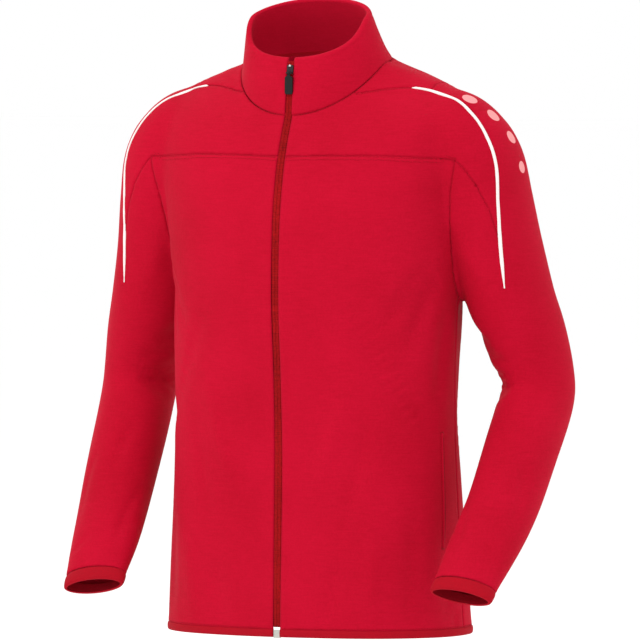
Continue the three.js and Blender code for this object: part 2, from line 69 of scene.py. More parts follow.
# Body sections from the hem to the collar's top, in columns:
# side_x, side_z, front_y, front_z, back_y, back_z, power
BODY_ROWS = np.array([
    (193, -698, -119, -698, 132, -698, 2.3),
    (188, -610, -118, -610, 122, -610, 2.3),
    (181, -476, -115, -476, 108, -476, 2.3),
    (181, -380, -118, -380, 114, -380, 2.3),
    (184, -293, -124, -293, 123, -293, 2.3),
    (192, -190, -122, -196, 128, -186, 2.25),
    (206, -118, -112, -136, 126, -112, 2.15),
    (199, -51, -102, -104, 116, -56, 2.1),
    (160, -26, -94, -84, 103, -21, 2.05),
    (120, -10, -89, -73, 92, -3, 2),
    (94, 0, -86, -65, 80, 11, 2),
    (89, 12, -84, -50, 64, 28, 2),
    (84, 34, -80, -20, 42, 54, 2),
    (80, 54, -78, 2, 25, 76, 2.1),
], dtype=float)

# Sleeve sections from inside the shoulder to the cuff, in columns: x, y, z, across, deep
SLEEVE_ROWS = np.array([
    (126, 8, -86, 38, 36),
    (152, 10, -84, 51, 52),
    (178, 12, -95, 61, 61),
    (200, 15, -126, 64, 63),
    (213, 22, -172, 60, 62),
    (226, 32, -232, 56, 59),
    (240, 40, -290, 53, 56),
    (255, 50, -335, 50, 52),
    (266, 57, -380, 47, 48),
    (269, 52, -412, 46, 46),
    (265, 15, -470, 46, 43),
    (261, -26, -532, 45.5, 39),
    (253, -75, -590, 44, 30),
    (246, -122, -642, 40, 15),
], dtype=float)

# Seams on the wearer's left half, seen from the front as x and z
YOKE_EDGE = np.array([(0, -114.5), (60, -113), (120, -113), (170, -116), (204, -118), (216, -130),
                      (230, -150), (243, -178), (251, -210), (257, -246), (261, -275)], dtype=float)
FRONT_ARMHOLE = np.array([(207, -100), (203, -130), (196, -160), (191, -195), (188, -231), (186.5, -262),
                          (186, -290), (190, -320), (198, -380), (201, -760)], dtype=float)
BACK_ARMHOLE = np.array([(157, 20), (160, -40), (176, -72), (192, -112), (193, -160), (189, -220),
                         (186.5, -262), (186, -290), (190, -320), (198, -380), (201, -760)], dtype=float)
SHOULDER_LINE = np.array([
    (66, -50, -38), (76, -55, -39), (95, -45, -36), (116, -34, -33.5), (137, -24, -32), (160, -17, -36.5),
    (187, -17, -46), (217, -22, -68), (237, -24, -95), (249, -25, -125), (252, -25, -168),
    (253, -21, -220), (256, -15, -274),
], dtype=float)
LINE_BY_X = 6
PIPING_START = 4

# Printed dots on the wearer's left shoulder, in columns: x, y and z of the middle, and diameter
DOTS = [(205.4, -4.4, -44.9, 19.5), (233, 3.7, -64.9, 18.5), (253.4, 11.6, -91.3, 17),
        (266.2, 14.7, -127.6, 15)]

PANELS = ["front_right", "front_left", "yoke_right", "yoke_left", "back", "sleeve_right", "sleeve_left"]


def make_camera():
    """Stands the camera where the photograph was taken from."""
    data = bpy.data.cameras.new("camera")
    data.lens = CAMERA_LENS
    data.sensor_width = CAMERA_SENSOR
    data.clip_end = 200
    camera = bpy.data.objects.new("camera", data)
    bpy.context.collection.objects.link(camera)
    towards = Vector((math.sin(CAMERA_TURN) * math.cos(CAMERA_TILT),
                      -math.cos(CAMERA_TURN) * math.cos(CAMERA_TILT), math.sin(CAMERA_TILT)))
    camera.location = CAMERA_TARGET + towards * CAMERA_DISTANCE
    camera.rotation_euler = (-towards).to_track_quat("-Z", "Y").to_euler()
    bpy.context.scene.camera = camera
    bpy.context.view_layer.update()
    return camera


def unit(vectors):
    return vectors / np.linalg.norm(vectors, axis=1)[:, None]


def side_name(side):
    return "left" if side > 0 else "right"


def fill_rows(rows, steps):
    """Fills each gap between two rows with evenly spaced rows on a smooth curve."""
    filled = []
    last = len(rows) - 1
    for index in range(last):
        before, start, end, after = (rows[min(max(index + shift, 0), last)] for shift in (-1, 0, 1, 2))
        for share in np.arange(steps) / steps:
            filled.append(0.5 * (2 * start + (end - before) * share
                                 + (2 * before - 5 * start + 4 * end - after) * share ** 2
                                 + (3 * start - before - 3 * end + after) * share ** 3))
    filled.append(rows[last])
    return np.array(filled)


def rounded_power(value, power):
    return np.sign(value) * np.abs(value) ** (2 / power)


def ring_fall(forward):
    """How far a ring has gone from its side's height to its front's or back's, from 0 to 1."""
    return ((np.hypot(forward, SIDE_ROUNDING) - SIDE_ROUNDING)
            / (math.hypot(1, SIDE_ROUNDING) - SIDE_ROUNDING))


def front_sweep(back_z):
    """The collar's edge stays low across the front and climbs steeply at its sides."""
    neck, top = BODY_ROWS[NECK_ROW][5], BODY_ROWS[-1][5]
    return 1 - (1 - COLLAR_SWEEP) * min(max((back_z - neck) / (top - neck), 0), 1)


def body_points(row, angles):
    """Points of one body section at the given angles, from the wearer's left round over the back."""
    side_x, side_z, front_y, front_z, back_y, back_z, power = row
    forward = np.sin(angles)
    far_z = np.where(forward < 0, front_z, back_z)
    sweep = np.where(forward < 0, front_sweep(back_z), 1.0)
    return np.stack([
        side_x * rounded_power(np.cos(angles), power),
        (front_y + back_y) / 2 + (back_y - front_y) / 2 * rounded_power(forward, power),
        side_z + (far_z - side_z) * ring_fall(forward) ** sweep,
    ], axis=1)


def sleeve_frames(rows):
    """The middle, the direction along the arm, outward and forward of each sleeve section."""
    middles = rows[:, :3]
    along = np.gradient(middles, axis=0)
    along = unit(along)
    forward = np.array([0.0, -1.0, 0.0]) - along * (-along[:, 1:2])
    forward = unit(forward)
    return middles, along, np.cross(forward, along), forward


def sleeve_points(rows, angles):
    middles, _, outward, forward = sleeve_frames(rows)
    return (middles[:, None] + outward[:, None] * (rows[:, 3, None] * np.cos(angles))[..., None]
            + forward[:, None] * (rows[:, 4, None] * np.sin(angles))[..., None])


def grid_normals(grid, closed):
    """Outward normals of a grid of rings."""
    up = np.gradient(grid, axis=0)
    if closed:
        around = np.roll(grid, -1, axis=1) - np.roll(grid, 1, axis=1)
    else:
        around = np.gradient(grid, axis=1)
    normals = np.cross(around, up)
    return normals / np.maximum(np.linalg.norm(normals, axis=2)[..., None], 1e-9)


def mirrored(points):
    return points * np.array([-1.0, 1.0, 1.0])


def mesh_object(name, points, faces):
    """An object from points in millimetres."""
    mesh = bpy.data.meshes.new(name)
    mesh.from_pydata((np.asarray(points) * MM).tolist(), [], [tuple(face) for face in faces])
    mesh.polygons.foreach_set("use_smooth", [True] * len(mesh.polygons))
    mesh.update()
    thing = bpy.data.objects.new(name, mesh)
    bpy.context.collection.objects.link(thing)
    return thing


def face_outward(thing):
    builder = bmesh.new()
    builder.from_mesh(thing.data)
    bmesh.ops.recalc_face_normals(builder, faces=builder.faces)
    builder.to_mesh(thing.data)
    builder.free()
    thing.data.update()


def grid_faces(rows, columns, wrap_rows=False, wrap_columns=False):
    faces = []
    for row in range(rows if wrap_rows else rows - 1):
        for column in range(columns if wrap_columns else columns - 1):
            below, above = row * columns, (row + 1) % rows * columns
            beside = (column + 1) % columns
            faces.append((below + column, below + beside, above + beside, above + column))
    return faces


def tube_faces(first, rings, turns):
    """Faces of a closed tube whose points start at the given number."""
    faces = [tuple(first + corner for corner in face) for face in grid_faces(rings, turns, wrap_columns=True)]
    faces.append(tuple(first + turn for turn in reversed(range(turns))))
    faces.append(tuple(first + (rings - 1) * turns + turn for turn in range(turns)))
    return faces


def tube_solid(name, grid):
    """A closed solid through a grid of closed rings."""
    rows, columns = grid.shape[:2]
    return mesh_object(name, grid.reshape(-1, 3), tube_faces(0, rows, columns))


def whole_form():
    """The body and both sleeves melted into one smooth skin: its points and its triangles."""
    angles = np.linspace(0, 2 * math.pi, 180, endpoint=False)
    body = np.array([body_points(row, angles) for row in fill_rows(BODY_ROWS[:NECK_ROW + 3], 10)])
    body = np.concatenate([body[:1] - [0, 0, 25], body])
    arm_angles = np.linspace(0, 2 * math.pi, 90, endpoint=False)
    arm_rows = fill_rows(SLEEVE_ROWS, 10)
    arm = sleeve_points(arm_rows, arm_angles)
    along = sleeve_frames(arm_rows)[1][-1]
    arm = np.concatenate([arm, arm[-1:] + along * 22])
    solids = [tube_solid("form_body", body), tube_solid("form_arm", arm),
              tube_solid("form_arm_mirrored", mirrored(arm)[:, ::-1])]
    builder = bmesh.new()
    for solid in solids:
        face_outward(solid)
        builder.from_mesh(solid.data)
        bpy.data.objects.remove(solid)
    mesh = bpy.data.meshes.new("form")
    builder.to_mesh(mesh)
    builder.free()
    form = bpy.data.objects.new("form", mesh)
    bpy.context.collection.objects.link(form)
    remesh = form.modifiers.new("melt", "REMESH")
    remesh.mode = "VOXEL"
    remesh.voxel_size = VOXEL
    evaluated = form.evaluated_get(bpy.context.evaluated_depsgraph_get())
    melted = bpy.data.meshes.new_from_object(evaluated)
    bpy.data.objects.remove(form)
    points = np.empty(len(melted.vertices) * 3)
    melted.vertices.foreach_get("co", points)
    melted.calc_loop_triangles()
    triangles = np.empty(len(melted.loop_triangles) * 3, dtype=int)
    melted.loop_triangles.foreach_get("vertices", triangles)
    bpy.data.meshes.remove(melted)
    return points.reshape(-1, 3) / MM, triangles.reshape(-1, 3)


def edges_of(triangles):
    edges = np.concatenate([triangles[:, [0, 1]], triangles[:, [1, 2]], triangles[:, [2, 0]]])
    return np.unique(np.sort(edges, axis=1), axis=0)


def neighbour_means(values, edges, count):
    total = np.zeros((count, values.shape[1]))
    for axis in range(values.shape[1]):
        total[:, axis] += np.bincount(edges[:, 0], values[edges[:, 1], axis], count)
        total[:, axis] += np.bincount(edges[:, 1], values[edges[:, 0], axis], count)
    degree = np.bincount(edges.ravel(), minlength=count)
    return total / np.maximum(degree, 1)[:, None]


def relaxed(points, edges, turns, share=0.5, fixed=None):
    points = points.copy()
    for _ in range(turns):
        moved = points + share * (neighbour_means(points, edges, len(points)) - points)
        if fixed is not None:
            moved[fixed] = points[fixed]
        points = moved
    return points


def skin_normals(points, triangles):
    corners = points[triangles]
    faces = np.cross(corners[:, 1] - corners[:, 0], corners[:, 2] - corners[:, 0])
    normals = np.zeros_like(points)
    for corner in range(3):
        for axis in range(3):
            normals[:, axis] += np.bincount(triangles[:, corner], faces[:, axis], len(points))
    return normals / np.maximum(np.linalg.norm(normals, axis=1)[:, None], 1e-9)


def table_value(table, key, value, where):
    """Reads one column of a table by another, on straight lines between its rows."""
    order = np.argsort(table[:, key])
    return np.interp(where, table[order, key], table[order, value])


def neck_height(points):
    """The height of the neck seam beside each point."""
    _, side_z, front_y, front_z, back_y, back_z, _ = BODY_ROWS[NECK_ROW]
    across = points[:, 0] / BODY_ROWS[NECK_ROW][0]
    forward = (points[:, 1] - (front_y + back_y) / 2) / ((back_y - front_y) / 2)
    forward = forward / np.maximum(np.hypot(across, forward), 1e-6)
    return side_z + (np.where(forward < 0, front_z, back_z) - side_z) * ring_fall(forward)


def arm_end():
    """The sleeve's sections, its end, the way along it there and each section's place past the end."""
    rows = fill_rows(SLEEVE_ROWS, 10)
    middles, along, _, _ = sleeve_frames(rows)
    return rows, middles[-1], along[-1], (middles - middles[-1]) @ along[-1]


def cuff_depth(points):
    """How far past the cuff seam each point lies, along the arm."""
    _, end, along, _ = arm_end()
    flat = points.copy()
    flat[:, 0] = np.abs(flat[:, 0])
    depth = (flat - end) @ along + CUFF_BINDING
    near = (flat[:, 0] > 200) & (flat[:, 2] < -540)
    return np.where(near, depth, -100.0)


def shoulder_line_y(points):
    """The depth of the shoulder seam and piping beside each point."""
    by_x = table_value(SHOULDER_LINE[:LINE_BY_X], 0, 1, np.abs(points[:, 0]))
    by_z = table_value(SHOULDER_LINE[LINE_BY_X - 1:], 2, 1, points[:, 2])
    return np.where(np.abs(points[:, 0]) < SHOULDER_LINE[LINE_BY_X - 1][0], by_x, by_z)


def seam_fields(points):
    """Each seam as a signed distance, with the points that it may part."""
    x = np.abs(points[:, 0])
    _, y, z = points.T
    front = y < SIDE_SEAM_Y
    yoke = z - table_value(YOKE_EDGE, 0, 1, x)
    line = y - shoulder_line_y(points)
    front_arm = x - table_value(FRONT_ARMHOLE, 1, 0, z)
    back_arm = x - table_value(BACK_ARMHOLE, 1, 0, z)
    low = z < -250
    inner = x < np.where(low, 187, 300)
    return {
        "neck": (z - neck_height(points), (x < 130) & (z > -110)),
        "hem": (z - (HEM_HEIGHT + HEM_BINDING), x < 200),
        "cuff": (cuff_depth(points), (x > 200) & (z < -540)),
        "line": (line, (z > np.interp(x, [0, 250, 262], [-90, -262, -300])) & (x > 50) & (y < 40)),
        "yoke": (yoke, (line < 4) & front & (y < 4)),
        "front_arm": (front_arm, (yoke < 4) & front & (z > -300)),
        "back_arm": (back_arm, (line > -4) & (y > -20) & (z > -300) & ((y >= SIDE_SEAM_Y - 4) | (z > -110))),
        "side": (y - SIDE_SEAM_Y, (z < -225) & inner & (x > 100)),
        "zip": (x - ZIP_SLOT_HALF, y < -40),
    }


def snap_to_seams(points, edges):
    """Moves the points nearest to each seam onto it, so that the triangles part along it."""
    points = points.copy()
    snapped = np.zeros(len(points), dtype=bool)
    for name in ("neck", "hem", "cuff", "zip", "line", "yoke", "front_arm", "back_arm", "side"):
        for _ in range(2):
            value, valid = seam_fields(points)[name]
            start, end = edges.T
            near = np.abs(value) > 0.02
            crossing = (value[start] * value[end] < 0) & valid[start] & valid[end] & near[start] & near[end]
            start, end = start[crossing], end[crossing]
            share = value[start] / (value[start] - value[end])
            target = points[start] + (points[end] - points[start]) * share[:, None]
            first = share < 0.5
            first = np.where(snapped[start] & ~snapped[end], False, first)
            first = np.where(snapped[end] & ~snapped[start], True, first)
            chosen = np.where(first, start, end)
            points[chosen] = target
            snapped[chosen] = True
    return points, snapped


def panel_numbers(points, triangles):
    """The panel that each triangle belongs to, or -1 where another piece takes its place."""
    middles = points[triangles].mean(axis=1)
    fields = {name: value for name, (value, _) in seam_fields(middles).items()}
    x, y, z = middles.T
    front = y < SIDE_SEAM_Y
    left = x > 0
    arm = np.where(front & (fields["yoke"] < 0), fields["front_arm"], fields["back_arm"]) > 0
    numbers = np.where(arm, np.where(left, 6, 5), 4)
    in_front = front & (fields["yoke"] < 0) & (fields["front_arm"] < 0) & (np.abs(x) < 210)
    numbers = np.where(in_front, np.where(left, 1, 0), numbers)
    in_yoke = (fields["yoke"] > 0) & (fields["line"] < 0) & (z > -280)
    numbers = np.where(in_yoke, np.where(left, 3, 2), numbers)
    gone = (fields["neck"] > 0) & (np.abs(x) < 110) & (z > -80) & (np.hypot(x / 94, (y + 3) / 83) < 1.15)
    gone |= (z < HEM_HEIGHT + HEM_BINDING) | (fields["cuff"] > 0)
    gone |= (fields["zip"] < 0) & (y < -40)
    return np.where(gone, -1, numbers)


def on_body(angle, height):
    """A point on the body at an angle in degrees from the wearer's left, and a height."""
    rows = fill_rows(BODY_ROWS[:NECK_ROW + 1], 6)
    row = rows[np.argmin(np.abs(rows[:, 1] - height))]
    return body_points(row, np.array([math.radians(angle)]))[0]


def on_sleeve(share, angle):
    """A point on the wearer's left sleeve, from the shoulder, 0, to the cuff, 1."""
    rows = fill_rows(SLEEVE_ROWS, 8)
    grid = sleeve_points(rows, np.array([math.radians(angle)]))
    return grid[int(round(share * (len(rows) - 1))), 0]


# Soft folds in the sleeves, in columns: the share of the arm and the angle at the start, middle and
# end of each, its half width and its depth, which is below 0 for a trough. Angle 0 is the arm's
# outside, 90 its front, 180 its inside and 270 its back.
SLEEVE_FOLDS = [
    (0.632, 104, 0.634, 138, 0.628, 178, 3.8, -1.35),
    (0.598, 122, 0.596, 150, 0.588, 182, 4.4, -0.8),
    (0.668, 126, 0.674, 154, 0.682, 186, 4.6, -0.85),
    (0.36, 168, 0.40, 158, 0.445, 146, 6.0, -1.2),
    (0.90, 165, 0.915, 140, 0.925, 112, 5.0, -0.7),
    (0.93, 75, 0.945, 55, 0.95, 30, 4.8, -0.6),
    (0.615, 200, 0.62, 150, 0.60, 95, 6.5, -2.6),
    (0.665, 195, 0.665, 155, 0.65, 110, 5.5, -1.7),
    (0.64, 200, 0.642, 152, 0.63, 105, 5.5, 1.3),
    (0.575, 190, 0.585, 150, 0.58, 118, 7, -1.1),
    (0.70, 170, 0.70, 135, 0.685, 100, 8, -1.8),
    (0.55, 160, 0.56, 130, 0.575, 95, 10, -1.7),
    (0.47, 185, 0.50, 150, 0.54, 120, 12, -1.8),
    (0.62, 215, 0.63, 250, 0.60, 285, 12, 1.4),
    (0.76, 120, 0.80, 100, 0.85, 95, 9, -1.1),
    (0.80, 60, 0.85, 45, 0.91, 40, 8, -1.0),
    (0.86, 150, 0.90, 130, 0.95, 120, 7, -1.2),
    (0.88, 250, 0.92, 230, 0.96, 225, 8, -1.3),
    (0.38, 195, 0.43, 175, 0.50, 165, 13, -2.2),
    (0.35, 235, 0.42, 225, 0.50, 215, 12, -1.8),
    (0.30, 110, 0.38, 100, 0.46, 88, 13, 1.2),
    (0.55, 300, 0.60, 310, 0.68, 315, 11, -1.2),
]

# Soft folds in the body, in columns: the angle and height at the start, middle and end of each, its
# half width and its depth. Angle 0 is the side, -90 the front and 90 the back.
BODY_FOLDS = [
    (-16, -248, -30, -262, -44, -288, 6.5, -1.0),
    (14, -250, 28, -266, 44, -290, 6.5, -1.1),
    (-4, -660, -6, -676, -7, -690, 6.0, -0.8),
    (30, -655, 31, -672, 33, -690, 6.5, -0.8),
    (72, -650, 73, -668, 74, -690, 6.5, -0.9),
    (-64, -290, -48, -370, -28, -442, 14, -1.5),
    (-58, -310, -42, -385, -24, -452, 11, 1.0),
    (-62, -385, -70, -450, -78, -525, 13, 1.2),
    (-54, -430, -60, -500, -66, -560, 12, -1.0),
    (-14, -265, -24, -300, -34, -350, 13, -2.6),
    (-24, -262, -36, -290, -50, -322, 12, -1.7),
    (-6, -290, -9, -350, -14, -430, 14, -2.0),
    (-30, -520, -34, -600, -36, -680, 16, -1.8),
    (-52, -560, -55, -620, -57, -690, 15, 1.3),
    (-70, -600, -71, -640, -74, -690, 13, -1.1),
    (-8, -560, -10, -620, -12, -690, 13, -1.6),
    (-40, -395, -28, -420, -12, -440, 13, -1.3),
    (20, -262, 30, -300, 42, -355, 14, -2.8),
    (28, -232, 42, -262, 58, -300, 12, -1.8),
    (12, -330, 16, -400, 20, -470, 14, -1.8),
    (36, -520, 40, -600, 42, -690, 16, -2.0),
    (62, -540, 64, -620, 66, -690, 17, 1.8),
    (80, -580, 82, -640, 86, -690, 13, -1.4),
    (50, -390, 66, -402, 84, -398, 15, -1.6),
    (40, -440, 56, -456, 76, -450, 14, -1.2),
    (60, -128, 75, -138, 95, -134, 14, -1.3),
]


def fold_height(points, start, middle, end, width, depth):
    """A soft trough or ridge along a bent line, deepest in its middle."""
    share = np.linspace(0, 1, 15)[:, None]
    bend = 2 * middle - (start + end) / 2
    line = (1 - share) ** 2 * start + 2 * share * (1 - share) * bend + share ** 2 * end
    near = np.all((points > line.min(axis=0) - 3 * width) & (points < line.max(axis=0) + 3 * width), axis=1)
    height = np.zeros(len(points))
    local = points[near]
    if len(local) == 0:
        return height
    gaps = np.linalg.norm(local[:, None] - line[None], axis=2)
    nearest = gaps.argmin(axis=1)
    fade = np.sin(math.pi * np.clip(nearest / 14, 0.03, 0.97)) ** 0.8
    height[near] = depth * fade * np.exp(-(gaps.min(axis=1) / width) ** 2)
    return height


def folds(points):
    height = np.zeros(len(points))
    for side, stretch in ((1, 2.3), (-1, 1.9)):
        flip = np.array([side, 1, 1])
        for fold in SLEEVE_FOLDS:
            places = [on_sleeve(fold[k], fold[k + 1] + (1 - side) * 4) * flip for k in (0, 2, 4)]
            height += fold_height(points, *places, fold[6], fold[7] * stretch)
        for fold in BODY_FOLDS:
            places = [on_body(fold[k] + (1 - side) * 2, fold[k + 1]) * flip for k in (0, 2, 4)]
            height += fold_height(points, *places, fold[6], fold[7] * stretch)
    x, y, z = points.T
    height += 0.9 * np.sin(x / 41 + 1.3 + 0.6 * np.sin(z / 97)) * np.sin(z / 63 + 0.4)
    height += 0.55 * np.sin((x + y) / 27 + 0.9) * np.sin(z / 38 + 2.1)
    return height


def seam_distance(points, seam_points, reach):
    tree = KDTree(len(seam_points))
    for index, point in enumerate(seam_points):
        tree.insert(point, index)
    tree.balance()
    return np.array([min(tree.find(point)[2], reach) for point in points])


def dressed_skin():
    """The whole skin with its folds, parted at its seams, which lie a little lower."""
    points, triangles = whole_form()
    edges = edges_of(triangles)
    across = np.abs(points[:, 0])
    joins = (across > 125) & (across < 240) & (points[:, 2] > -150)
    points = relaxed(points, edges, 30, fixed=~joins)
    points = relaxed(points, edges, 9)
    points, snapped = snap_to_seams(points, edges)
    points = relaxed(points, edges, 3, 0.35, snapped)
    normals = skin_normals(points, triangles)
    points = points + normals * folds(points)[:, None]
    numbers = panel_numbers(points, triangles)
    start = np.full(len(points), -2)
    seam = np.zeros(len(points), dtype=bool)
    for corner in range(3):
        start[triangles[:, corner]] = numbers
    for corner in range(3):
        seam |= np.isin(np.arange(len(points)), triangles[:, corner][start[triangles[:, corner]] != numbers])
    gap = seam_distance(points, points[seam], 30)
    sink = -0.75 * np.exp(-(gap / 1.6) ** 2) + 0.3 * np.exp(-((gap - 4.5) / 2.6) ** 2)
    return points + normals * sink[:, None], triangles, numbers


def cut_panel(name, points, triangles, thickness=CLOTH):
    used, renumbered = np.unique(triangles, return_inverse=True)
    panel = mesh_object(name, points[used], renumbered.reshape(-1, 3))
    solidify = panel.modifiers.new("cloth", "SOLIDIFY")
    solidify.thickness = thickness * MM
    solidify.offset = -1
    return panel


def applied(thing):
    evaluated = thing.evaluated_get(bpy.context.evaluated_depsgraph_get())
    mesh = bpy.data.meshes.new_from_object(evaluated)
    thing.modifiers.clear()
    thing.data = mesh
    return thing


def biggest_part(triangles, count):
    """Leaves out the crumbs that a seam may cut off: keeps the largest joined part."""
    label = np.arange(count)
    edges = edges_of(triangles)
    for _ in range(400):
        low = np.minimum(label[edges[:, 0]], label[edges[:, 1]])
        new = label.copy()
        np.minimum.at(new, edges[:, 0], low)
        np.minimum.at(new, edges[:, 1], low)
        new = new[new]
        if np.array_equal(new, label):
            break
        label = new
    owners = label[triangles[:, 0]]
    names, sizes = np.unique(owners, return_counts=True)
    return triangles[owners == names[sizes.argmax()]]


def band_between(name, outer, inner, closed):
    """A closed wall between an outer and an inner grid, with its long edges rounded."""
    def edge_row(index, beyond):
        middle = (outer[index] + inner[index]) / 2
        step = outer[index] - outer[beyond]
        step /= np.maximum(np.linalg.norm(step, axis=1)[:, None], 1e-9)
        half = np.linalg.norm(outer[index] - inner[index], axis=1)[:, None] / 2
        rows = []
        for turn in (30, 60, 90, 120, 150):
            swing = math.radians(turn)
            rows.append(middle + (outer[index] - middle) * math.cos(swing) + step * half * math.sin(swing))
        return np.array(rows)

    rows = np.concatenate([outer, edge_row(-1, -2), inner[::-1], edge_row(0, 1)[::-1]])
    count, columns = rows.shape[:2]
    faces = grid_faces(count, columns, wrap_rows=True, wrap_columns=closed)
    if not closed:
        faces.append(tuple(row * columns for row in range(count)))
        faces.append(tuple(row * columns + columns - 1 for row in reversed(range(count))))
    band = mesh_object(name, rows.reshape(-1, 3), faces)
    face_outward(band)
    return band


def open_ring_angles(row, count):
    """Angles round a body section from the zip's left side over the back to its right side."""
    gap = (ZIP_SLOT_HALF / row[0]) ** (row[6] / 2)
    return np.linspace(-math.pi / 2 + gap, 1.5 * math.pi - gap, count)


def collar():
    rows = fill_rows(BODY_ROWS[NECK_ROW:], 10)
    outer = np.array([body_points(row, open_ring_angles(row, 260)) for row in rows])
    for _ in range(60):
        outer[:, 1:-1, 2] = (outer[:, :-2, 2] + outer[:, 1:-1, 2] * 2 + outer[:, 2:, 2]) / 4
    normals = grid_normals(outer, False)
    share = np.linspace(0, 1, len(rows))[:, None, None]
    turn = np.linspace(0, 2 * math.pi, 260)[None, :, None]
    puff = 0.9 * np.sin(math.pi * share) ** 0.7 + 1.1 * np.sin(turn * 5 + 0.7) * share * (1 - share) * 2
    puff = puff - 0.9 * np.exp(-(share / 0.03) ** 2) - 0.35 * np.exp(-((share - 0.9) / 0.03) ** 2)
    inner = outer - normals * (COLLAR_WALL + 3.0 * share ** 2 + 0.3 * np.sin(turn * 3) * share)
    return band_between("collar_cloth", outer + normals * puff, inner, False)


def neck_tape():
    """The narrow band that covers the neck seam inside, from one side of the zip to the other."""
    row = fill_rows(BODY_ROWS[NECK_ROW:NECK_ROW + 2], 10)[1]
    angles = open_ring_angles(row, 200)[6:-6]
    line = body_points(row, angles)
    middle = np.array([0, -10, 0])
    normals = -(line - middle) * [1, 1, 0]
    normals = unit(normals)
    section = [(-4, -0.6), (-4, 0.5), (-3.4, 0.8), (-2.4, 0.5), (2.4, 0.5), (3.4, 0.8), (4, 0.5), (4, -0.6)]
    return swept("neck_tape", line + normals * (COLLAR_WALL + 0.6), normals, section)


def hem_binding():
    rows = fill_rows(BODY_ROWS[:2], 60)[:7]
    heights = np.linspace(HEM_HEIGHT + 1.2, HEM_HEIGHT + HEM_BINDING - 0.4, 7)
    outer = []
    for row, height in zip(rows, heights):
        ring = body_points(rows[0], open_ring_angles(rows[0], 420))
        ring[:, 2] = height
        outer.append(ring)
    outer = np.array(outer)
    normals = grid_normals(outer, False)
    share = np.linspace(0, 1, 7)[:, None, None]
    ring_share = np.linspace(0, 1, 420)[None, :, None]
    swell = 0.35 + 0.55 * np.sin(math.pi * share) ** 0.5
    swell = swell + folds_on(outer) + 0.06 * np.sin(ring_share * 2 * math.pi * 160)
    return band_between("hem_binding_cloth", outer + normals * swell, outer + normals * (swell - 2.6), False)


def folds_on(grid):
    return folds(grid.reshape(-1, 3)).reshape(grid.shape[:2])[..., None]


def cuff_binding(side):
    rows, end, along, depth = arm_end()
    near = rows[depth > -CUFF_BINDING - 4]
    fine = fill_rows(near, 4)
    grid = sleeve_points(fine, np.linspace(0, 2 * math.pi, 120, endpoint=False))
    past = (grid - end) @ along
    grid = grid[past.mean(axis=1) > -CUFF_BINDING + 0.3]
    grid = grid if side > 0 else mirrored(grid)[:, ::-1]
    normals = grid_normals(grid, True)
    share = np.linspace(0, 1, len(grid))[:, None, None]
    round_share = np.linspace(0, 1, 120, endpoint=False)[None, :, None]
    swell = -0.5 + 1.1 * np.sin(math.pi * share) ** 0.5
    swell = swell + folds_on(grid) * 0.5 + 0.05 * np.sin(round_share * 2 * math.pi * 60)
    name = f"cuff_binding_{side_name(side)}_cloth"
    return band_between(name, grid + normals * swell, grid + normals * (swell - 2.8), True)


def swept(name, line, normals, section, scale=None):
    """A section of (side, rise) pairs carried along a line on its normals."""
    line = np.asarray(line)
    along = np.gradient(line, axis=0)
    along = unit(along)
    side = np.cross(along, normals)
    side = unit(side)
    rise = np.cross(side, along)
    scale = np.ones(len(line)) if scale is None else scale
    section = np.asarray(section, dtype=float)
    grid = (line[:, None] + side[:, None] * (section[None, :, 0] * scale[:, None])[..., None]
            + rise[:, None] * (section[None, :, 1] * scale[:, None])[..., None])
    thing = tube_solid(name, grid)
    face_outward(thing)
    return thing


def places_along(length, line, where):
    return np.stack([np.interp(where, length, line[:, axis]) for axis in range(3)], axis=1)


def length_along(line):
    return np.concatenate([[0], np.cumsum(np.linalg.norm(np.diff(line, axis=0), axis=1))])


def curve_points(points, spacing):
    """Evenly spaced points on a smooth curve through the given ones."""
    fine = fill_rows(np.asarray(points, dtype=float), 24)
    length = length_along(fine)
    where = np.linspace(0, length[-1], max(int(length[-1] / spacing), 2))
    return places_along(length, fine, where)


class Skin:
    """The finished outer skin, to lay seams, piping and stitches on."""

    def __init__(self, points, triangles):
        self.tree = BVHTree.FromPolygons(points.tolist(), triangles.tolist())

    def laid(self, line):
        places, normals = [], []
        for point in line:
            place, normal, _, _ = self.tree.find_nearest(Vector(point))
            places.append(place)
            normals.append(normal)
        normals = np.array(normals)
        for _ in range(6):
            normals[1:-1] = (normals[:-2] + normals[1:-1] * 2 + normals[2:]) / 4
        normals = unit(normals)
        return np.array(places), normals


